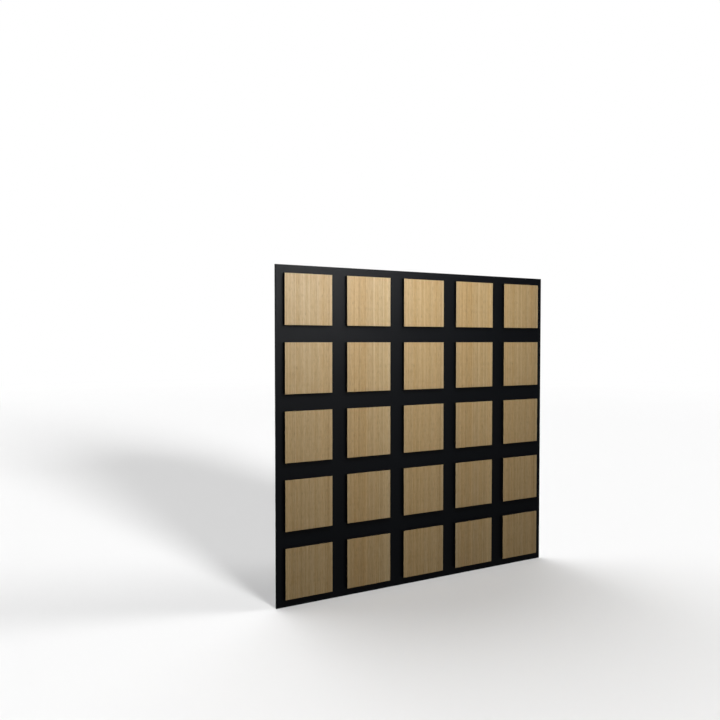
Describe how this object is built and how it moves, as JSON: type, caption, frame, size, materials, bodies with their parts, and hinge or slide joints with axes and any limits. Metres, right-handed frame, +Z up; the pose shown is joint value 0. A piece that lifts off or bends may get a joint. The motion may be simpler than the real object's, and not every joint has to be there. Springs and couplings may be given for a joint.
{
  "type": "wall panel with square tiles",
  "caption": "Square wall panel: a thin black board with a grid of separate square tiles standing proud of it, each a black core faced with upright-grained oak veneer.",
  "frame": {"origin": "centre of the board's back face, where it lies against the wall", "axes": "+Y into the wall and -Y out of the front, +Z up, +X to the right as seen from the front"},
  "size_m": [0.6, 0.01, 0.6],
  "materials": {
    "black_board": "satin",
    "black_core": "matte",
    "oak_veneer": "matte"
  },
  "bodies": {
    "root": {"backing_board": "black_board", "tile_core_r1_c1": "black_core", "tile_core_r1_c2": "black_core", "tile_core_r1_c3": "black_core", "tile_core_r1_c4": "black_core", "tile_core_r1_c5": "black_core", "tile_core_r2_c1": "black_core", "tile_core_r2_c2": "black_core", "tile_core_r2_c3": "black_core", "tile_core_r2_c4": "black_core", "tile_core_r2_c5": "black_core", "tile_core_r3_c1": "black_core", "tile_core_r3_c2": "black_core", "tile_core_r3_c3": "black_core", "tile_core_r3_c4": "black_core", "tile_core_r3_c5": "black_core", "tile_core_r4_c1": "black_core", "tile_core_r4_c2": "black_core", "tile_core_r4_c3": "black_core", "tile_core_r4_c4": "black_core", "tile_core_r4_c5": "black_core", "tile_core_r5_c1": "black_core", "tile_core_r5_c2": "black_core", "tile_core_r5_c3": "black_core", "tile_core_r5_c4": "black_core", "tile_core_r5_c5": "black_core", "tile_veneer_r1_c1": "oak_veneer", "tile_veneer_r1_c2": "oak_veneer", "tile_veneer_r1_c3": "oak_veneer", "tile_veneer_r1_c4": "oak_veneer", "tile_veneer_r1_c5": "oak_veneer", "tile_veneer_r2_c1": "oak_veneer", "tile_veneer_r2_c2": "oak_veneer", "tile_veneer_r2_c3": "oak_veneer", "tile_veneer_r2_c4": "oak_veneer", "tile_veneer_r2_c5": "oak_veneer", "tile_veneer_r3_c1": "oak_veneer", "tile_veneer_r3_c2": "oak_veneer", "tile_veneer_r3_c3": "oak_veneer", "tile_veneer_r3_c4": "oak_veneer", "tile_veneer_r3_c5": "oak_veneer", "tile_veneer_r4_c1": "oak_veneer", "tile_veneer_r4_c2": "oak_veneer", "tile_veneer_r4_c3": "oak_veneer", "tile_veneer_r4_c4": "oak_veneer", "tile_veneer_r4_c5": "oak_veneer", "tile_veneer_r5_c1": "oak_veneer", "tile_veneer_r5_c2": "oak_veneer", "tile_veneer_r5_c3": "oak_veneer", "tile_veneer_r5_c4": "oak_veneer", "tile_veneer_r5_c5": "oak_veneer"}
  },
  "joints": []
}
